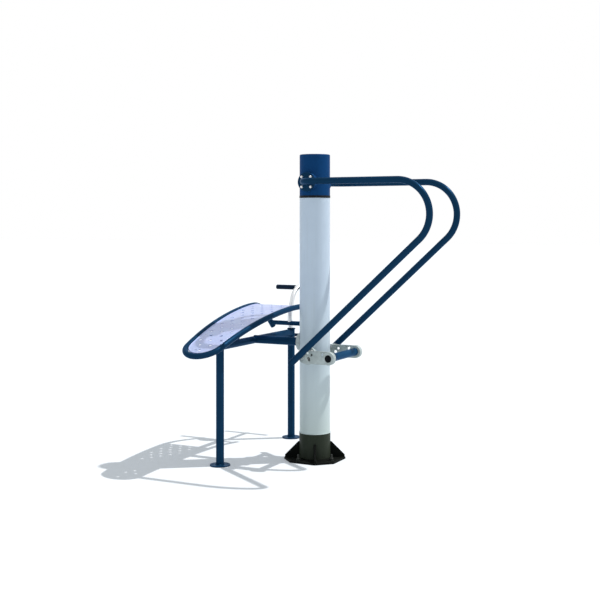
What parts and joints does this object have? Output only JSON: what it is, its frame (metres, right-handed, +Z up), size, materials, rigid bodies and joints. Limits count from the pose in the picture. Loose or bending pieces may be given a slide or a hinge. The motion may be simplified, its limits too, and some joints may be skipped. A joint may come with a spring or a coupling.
{
  "type": "outdoor fitness station",
  "caption": "Outdoor fitness station: a round post with two sloping dip bars, a foot rung and an arched perforated sit-up bench with an ankle bar and a foot bar.",
  "frame": {"origin": "on the post's axis at the floor, in the base plate's underside", "axes": "+Z up, +X from the post along the dip bars, +Y along the bench towards its ankle bar"},
  "size_m": [1.5668, 1.584, 1.9975],
  "materials": {
    "base_black": "satin",
    "post_silver": "satin",
    "head_blue": "satin",
    "tube_blue": "gloss",
    "plug_black": "matte",
    "cast_alloy": "cast, matt",
    "bright_steel": "brushed",
    "zinc_steel": "zinc plated",
    "panel_paint": "satin",
    "roller_blue": "fine texture"
  },
  "bodies": {
    "station": {"base_plate": "base_black", "base_gussets": "base_black", "base_sleeve": "base_black", "anchor_studs": "base_black", "anchor_washers": "base_black", "anchor_nuts": "base_black", "post_tube": "post_silver", "inner_spigot": "zinc_steel", "joint_ring": "plug_black", "head_tube": "head_blue", "top_cap": "head_blue", "dip_bar_near": "tube_blue", "dip_bar_far": "tube_blue", "upper_saddle_near": "head_blue", "upper_saddle_far": "head_blue", "upper_bolts": "bright_steel", "bar_end_plugs": "plug_black", "lower_bracket_near": "cast_alloy", "lower_bracket_far": "cast_alloy", "bracket_screws": "bright_steel", "bar_clamp_bolts": "bright_steel", "rung_tube": "tube_blue", "rung_inserts": "zinc_steel", "rung_bolts": "bright_steel", "hub_plugs": "plug_black", "near_leg": "tube_blue", "far_leg": "tube_blue", "near_leg_flange": "tube_blue", "far_leg_flange": "tube_blue", "leg_top_cap": "tube_blue", "bench_beam": "tube_blue", "cross_beam": "tube_blue", "beam_saddle": "cast_alloy", "beam_saddle_screws": "bright_steel", "bench_rail": "tube_blue", "rail_end_plugs": "plug_black", "bench_panel": "panel_paint", "front_cross_tube": "tube_blue", "rear_cross_tube": "tube_blue", "mast": "bright_steel", "mast_tip_plug": "bright_steel", "foot_arm": "bright_steel", "foot_arm_plug": "bright_steel", "ankle_axle": "bright_steel", "foot_axle": "bright_steel", "roller_washers": "bright_steel", "roller_end_caps": "roller_blue"},
    "left_roller": {"ankle_roller_left": "roller_blue"},
    "right_roller": {"ankle_roller_right": "roller_blue"},
    "left_foot_roller": {"foot_roller_left": "roller_blue"},
    "right_foot_roller": {"foot_roller_right": "roller_blue"}
  },
  "joints": [
    {"name": "left_roller_spin", "type": "hinge", "parent": "station", "child": "left_roller", "pos_m": [-0.455, 0.64, 1.077], "axis": [1, 0, 0], "continuous": true},
    {"name": "right_roller_spin", "type": "hinge", "parent": "station", "child": "right_roller", "pos_m": [-0.455, 0.64, 1.077], "axis": [1, 0, 0], "continuous": true},
    {"name": "left_foot_roller_spin", "type": "hinge", "parent": "station", "child": "left_foot_roller", "pos_m": [-0.455, 0.796, 0.706], "axis": [1, 0, 0], "continuous": true},
    {"name": "right_foot_roller_spin", "type": "hinge", "parent": "station", "child": "right_foot_roller", "pos_m": [-0.455, 0.796, 0.706], "axis": [1, 0, 0], "continuous": true}
  ]
}
